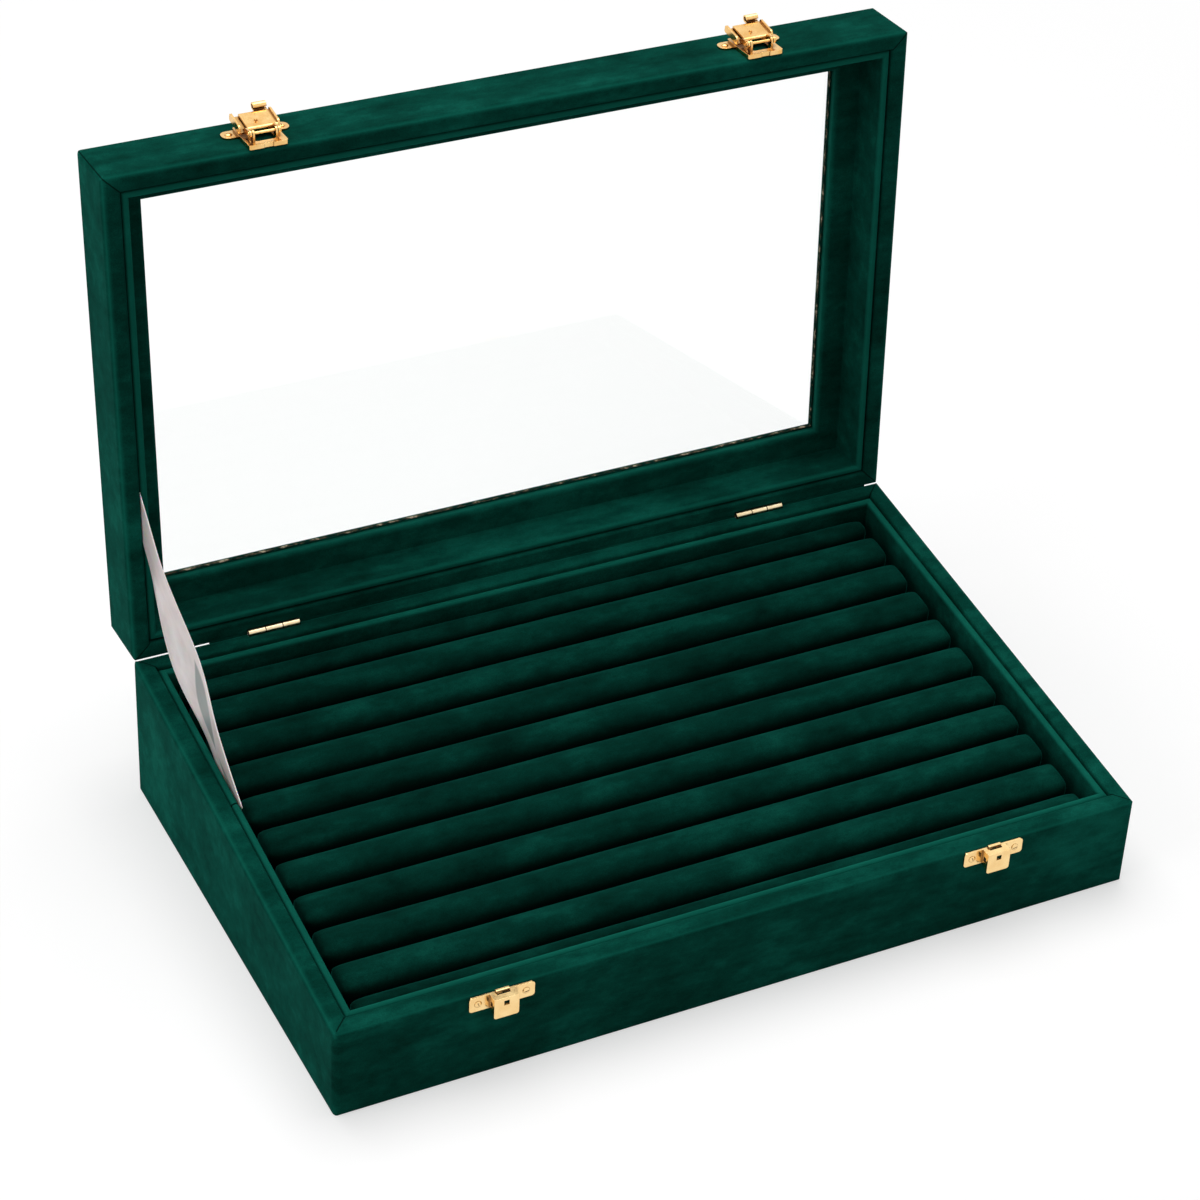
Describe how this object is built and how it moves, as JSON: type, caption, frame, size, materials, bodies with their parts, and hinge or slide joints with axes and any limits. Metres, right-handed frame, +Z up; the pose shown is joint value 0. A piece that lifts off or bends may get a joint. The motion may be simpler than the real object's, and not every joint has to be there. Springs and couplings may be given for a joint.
{
  "type": "ring display box",
  "caption": "Sloping velvet-covered display box with padded ring rolls, a hinged glazed lid on a ribbon stay and two brass latches.",
  "frame": {"origin": "centre of the underside, on the table the box stands on", "axes": "+X along the box to the right seen from the front, +Y towards the hinges, +Z up"},
  "size_m": [0.35, 0.2603, 0.2887],
  "materials": {
    "velvet_outer": "short-pile velvet",
    "velvet_inner": "short-pile velvet",
    "velvet_rolls": "short-pile velvet",
    "fibreboard": "raw",
    "base_cover": "matt paper-like cover",
    "glass": "clear",
    "gilt_brass": "polished",
    "satin_ribbon": "satin"
  },
  "bodies": {
    "base": {"base_wall_front": "velvet_outer", "base_wall_back": "velvet_outer", "base_wall_left": "velvet_outer", "base_wall_right": "velvet_outer", "base_liner_front": "velvet_inner", "base_liner_back": "velvet_inner", "base_liner_right": "velvet_inner", "base_liner_left_rear": "velvet_inner", "base_liner_left_front": "velvet_inner", "bottom_board": "fibreboard", "bottom_cover": "base_cover", "tray_board": "fibreboard", "tray_rest_front": "fibreboard", "tray_rest_back": "fibreboard", "ring_roll_1": "velvet_rolls", "ring_roll_2": "velvet_rolls", "ring_roll_3": "velvet_rolls", "ring_roll_4": "velvet_rolls", "ring_roll_5": "velvet_rolls", "ring_roll_6": "velvet_rolls", "ring_roll_7": "velvet_rolls", "ring_roll_8": "velvet_rolls", "ring_roll_9": "velvet_rolls", "ring_roll_10": "velvet_rolls", "ring_roll_11": "velvet_rolls", "hinge_base_leaf_left": "gilt_brass", "hinge_base_leaf_right": "gilt_brass", "hinge_pins": "gilt_brass", "keeper_left": "gilt_brass", "keeper_right": "gilt_brass", "keeper_screws": "gilt_brass", "ribbon_stay": "satin_ribbon"},
    "lid": {"lid_rail_front": "velvet_outer", "lid_rail_back": "velvet_outer", "lid_rail_left": "velvet_outer", "lid_rail_right": "velvet_outer", "lid_liner_front": "velvet_inner", "lid_liner_back": "velvet_inner", "lid_liner_left": "velvet_inner", "lid_liner_right": "velvet_inner", "lid_ledge_front": "velvet_inner", "lid_ledge_back": "velvet_inner", "lid_ledge_left": "velvet_inner", "lid_ledge_right": "velvet_inner", "glass_pane": "glass", "hinge_lid_leaf_left": "gilt_brass", "hinge_lid_leaf_right": "gilt_brass", "latch_plate_left": "gilt_brass", "latch_plate_right": "gilt_brass", "latch_pins": "gilt_brass", "latch_screws": "gilt_brass"},
    "latch_left": {"latch_lever_left": "gilt_brass"},
    "latch_right": {"latch_lever_right": "gilt_brass"}
  },
  "joints": [
    {"name": "lid_hinge", "type": "hinge", "parent": "base", "child": "lid", "pos_m": [0, 0.10601, 0.06623], "axis": [1, 0, 0], "range_deg": [0, 100], "deforming": ["ribbon_stay"]},
    {"name": "latch_hinge_left", "type": "hinge", "parent": "lid", "child": "latch_left", "pos_m": [-0.1075, 0.1243, 0.28503], "axis": [1, 0, 0], "range_deg": [0, 163.3]},
    {"name": "latch_hinge_right", "type": "hinge", "parent": "lid", "child": "latch_right", "pos_m": [0.1075, 0.1243, 0.28503], "axis": [1, 0, 0], "range_deg": [0, 163.3]}
  ]
}
